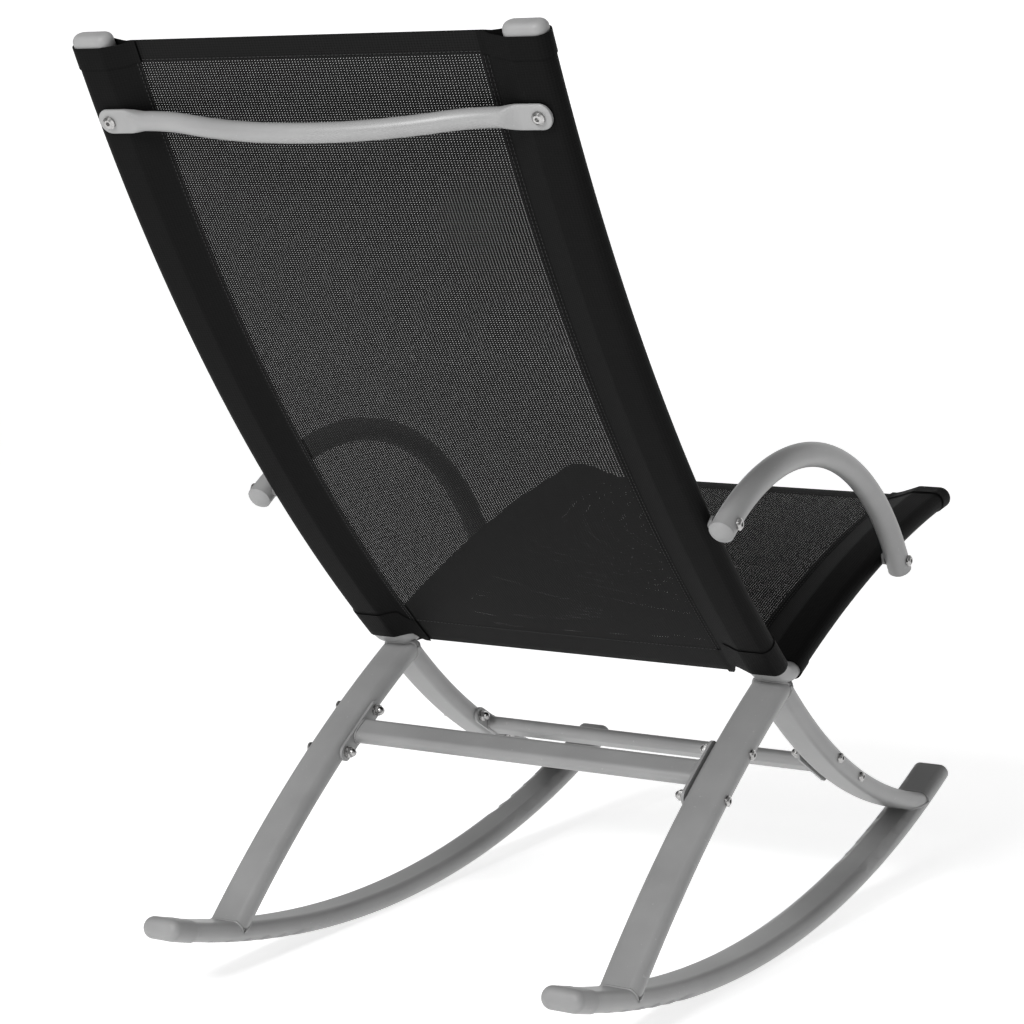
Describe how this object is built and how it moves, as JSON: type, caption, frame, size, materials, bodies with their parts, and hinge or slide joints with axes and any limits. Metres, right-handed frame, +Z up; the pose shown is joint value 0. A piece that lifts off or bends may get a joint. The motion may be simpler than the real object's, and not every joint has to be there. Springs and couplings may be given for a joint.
{
  "type": "camp rocking chair",
  "caption": "One-piece camp rocking chair: two steel side frames on curved rockers, bolted crossbars, arched armrests, and mesh cloth slings for the seat and back.",
  "frame": {"origin": "on the floor, under the middle of the chair's bounding box", "axes": "+Z up, -Y towards the front of the seat, +X to the sitter's left"},
  "size_m": [0.5542, 0.9553, 0.9119],
  "materials": {
    "steel_tube": "satin grey powder coat",
    "end_caps": "fine-grained moulded",
    "nylon": "smooth moulded",
    "zinc_fasteners": "bright zinc plate",
    "mesh_cloth": "open polyester mesh with folded and stitched hems"
  },
  "bodies": {
    "root": {"left_rail": "steel_tube", "right_rail": "steel_tube", "left_rear_leg": "steel_tube", "right_rear_leg": "steel_tube", "left_front_leg": "steel_tube", "right_front_leg": "steel_tube", "left_rocker": "steel_tube", "right_rocker": "steel_tube", "left_back_cap": "end_caps", "right_back_cap": "end_caps", "left_seat_plug": "end_caps", "right_seat_plug": "end_caps", "left_rocker_rear_cap": "end_caps", "right_rocker_rear_cap": "end_caps", "left_rocker_front_plug": "end_caps", "right_rocker_front_plug": "end_caps", "left_armrest": "steel_tube", "right_armrest": "steel_tube", "left_arm_plugs": "end_caps", "right_arm_plugs": "end_caps", "left_arm_bolts": "zinc_fasteners", "right_arm_bolts": "zinc_fasteners", "left_arm_spacers": "nylon", "right_arm_spacers": "nylon", "left_arm_inserts": "zinc_fasteners", "right_arm_inserts": "zinc_fasteners", "rear_crossbar": "steel_tube", "rear_crossbar_plates": "steel_tube", "rear_crossbar_bolts": "zinc_fasteners", "rear_crossbar_washers": "zinc_fasteners", "rear_crossbar_nuts": "zinc_fasteners", "front_crossbar": "steel_tube", "front_crossbar_plates": "steel_tube", "front_crossbar_bolts": "zinc_fasteners", "front_crossbar_washers": "zinc_fasteners", "front_crossbar_nuts": "zinc_fasteners", "back_bar": "steel_tube", "back_bar_bolts": "zinc_fasteners", "back_bar_washers": "zinc_fasteners", "back_bar_inserts": "zinc_fasteners", "back_sling": "mesh_cloth", "seat_sling": "mesh_cloth"}
  },
  "joints": []
}
